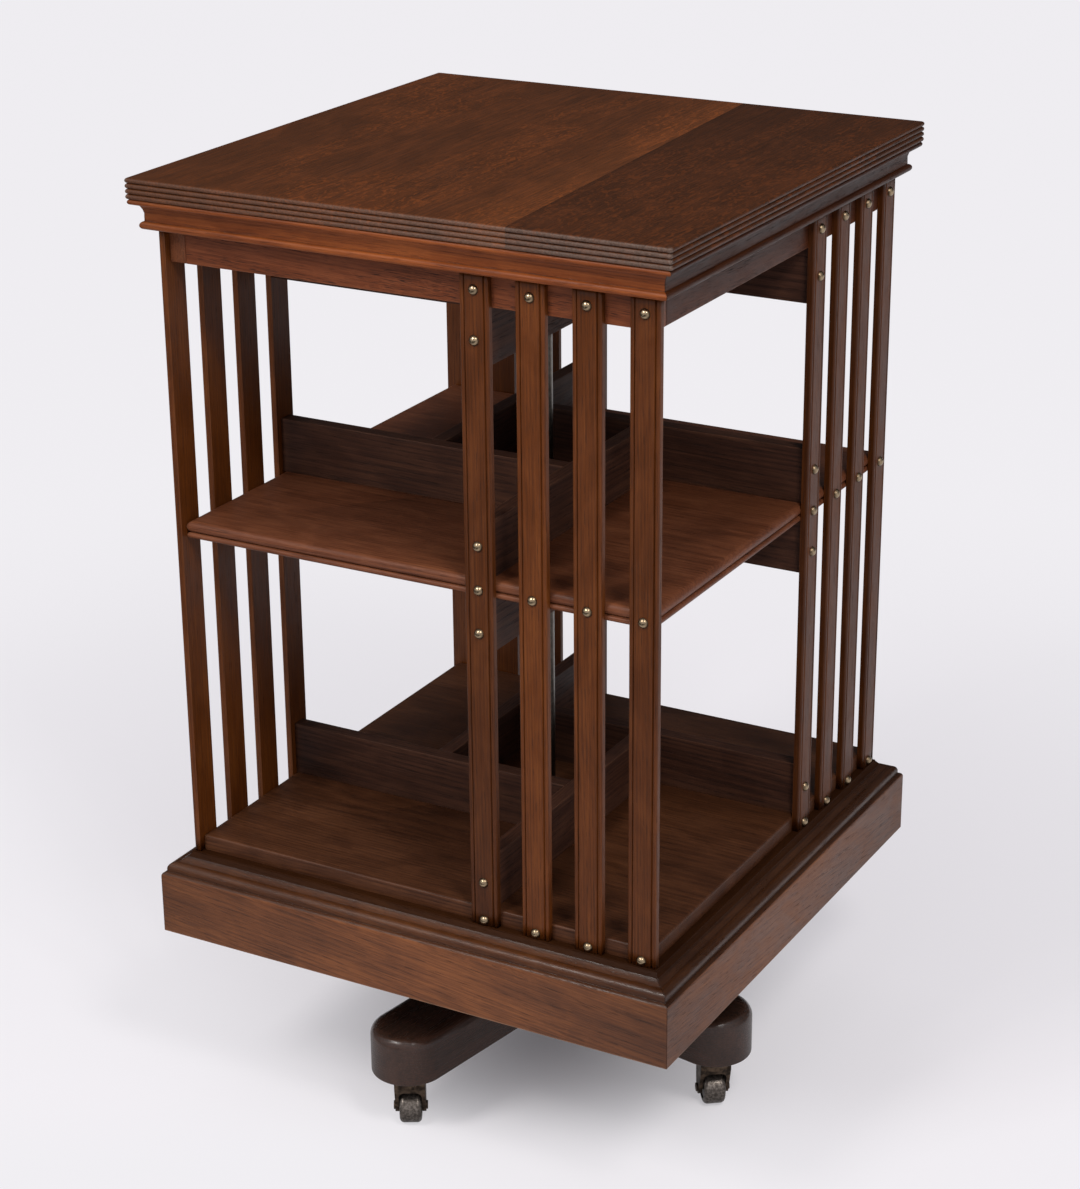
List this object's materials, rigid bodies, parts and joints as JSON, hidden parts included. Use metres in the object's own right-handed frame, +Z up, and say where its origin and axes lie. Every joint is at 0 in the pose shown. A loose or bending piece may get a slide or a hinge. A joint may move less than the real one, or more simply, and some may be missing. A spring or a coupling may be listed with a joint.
{
  "type": "revolving bookcase",
  "caption": "Square floor-standing oak bookcase that revolves on a cross base with casters; slatted faces, open bays and a middle shelf.",
  "frame": {"origin": "on the floor under the spindle, at the middle of the case", "axes": "+Z up along the spindle; the front face looks along -Y, the right face along +X"},
  "size_m": [0.509, 0.509, 0.8635],
  "materials": {
    "oak": "polished, semi-gloss",
    "brass": "aged, satin",
    "iron": "black, matt",
    "steel": "dull",
    "bronze": "dark, worn",
    "wheel": "worn, satin"
  },
  "bodies": {
    "base": {"arm_lower": "oak", "arm_upper": "oak", "spindle_flange": "iron", "flange_screws": "steel", "spindle": "steel", "caster_plates": "bronze", "caster_screws": "steel"},
    "case": {"top_board": "oak", "cornice_front": "oak", "cornice_right": "oak", "cornice_back": "oak", "cornice_left": "oak", "frieze_front": "oak", "frieze_right": "oak", "frieze_back": "oak", "frieze_left": "oak", "slat_front_1": "oak", "slat_front_2": "oak", "slat_front_3": "oak", "slat_front_4": "oak", "slat_right_1": "oak", "slat_right_2": "oak", "slat_right_3": "oak", "slat_right_4": "oak", "slat_back_1": "oak", "slat_back_2": "oak", "slat_back_3": "oak", "slat_back_4": "oak", "slat_left_1": "oak", "slat_left_2": "oak", "slat_left_3": "oak", "slat_left_4": "oak", "slat_studs": "brass", "shelf": "oak", "bottom_board": "oak", "plinth_front": "oak", "plinth_right": "oak", "plinth_back": "oak", "plinth_left": "oak", "cross_rails_top": "oak", "cross_rails_above_shelf": "oak", "cross_rails_below_shelf": "oak", "cross_rails_bottom": "oak", "pivot_board": "oak", "upper_bearing": "iron", "lower_bush": "iron", "bearing_screws": "steel"},
    "caster_1": {"caster_fork_1": "bronze", "caster_axle_1": "bronze"},
    "wheel_1": {"caster_wheel_1": "wheel"},
    "caster_2": {"caster_fork_2": "bronze", "caster_axle_2": "bronze"},
    "wheel_2": {"caster_wheel_2": "wheel"},
    "caster_3": {"caster_fork_3": "bronze", "caster_axle_3": "bronze"},
    "wheel_3": {"caster_wheel_3": "wheel"},
    "caster_4": {"caster_fork_4": "bronze", "caster_axle_4": "bronze"},
    "wheel_4": {"caster_wheel_4": "wheel"}
  },
  "joints": [
    {"name": "case_spin", "type": "hinge", "parent": "base", "child": "case", "pos_m": [0, 0, 0.755], "axis": [0, 0, 1], "continuous": true},
    {"name": "caster_1_swivel", "type": "hinge", "parent": "base", "child": "caster_1", "pos_m": [-0.03451, -0.19375, 0.05], "axis": [0, 0, 1], "continuous": true},
    {"name": "wheel_1_roll", "type": "hinge", "parent": "caster_1", "child": "wheel_1", "pos_m": [-0.03646, -0.19026, 0.016], "axis": [-0.8729, -0.4879, 0], "continuous": true},
    {"name": "caster_2_swivel", "type": "hinge", "parent": "base", "child": "caster_2", "pos_m": [0.19375, -0.03451, 0.05], "axis": [0, 0, 1], "continuous": true},
    {"name": "wheel_2_roll", "type": "hinge", "parent": "caster_2", "child": "wheel_2", "pos_m": [0.19133, -0.03133, 0.016], "axis": [-0.7965, -0.6046, 0], "continuous": true},
    {"name": "caster_3_swivel", "type": "hinge", "parent": "base", "child": "caster_3", "pos_m": [0.03451, 0.19375, 0.05], "axis": [0, 0, 1], "continuous": true},
    {"name": "wheel_3_roll", "type": "hinge", "parent": "caster_3", "child": "wheel_3", "pos_m": [0.03639, 0.19728, 0.016], "axis": [-0.8829, 0.4695, 0], "continuous": true},
    {"name": "caster_4_swivel", "type": "hinge", "parent": "base", "child": "caster_4", "pos_m": [-0.19375, 0.03451, 0.05], "axis": [0, 0, 1], "continuous": true},
    {"name": "wheel_4_roll", "type": "hinge", "parent": "caster_4", "child": "wheel_4", "pos_m": [-0.19761, 0.03555, 0.016], "axis": [-0.2588, -0.9659, 0], "continuous": true}
  ]
}
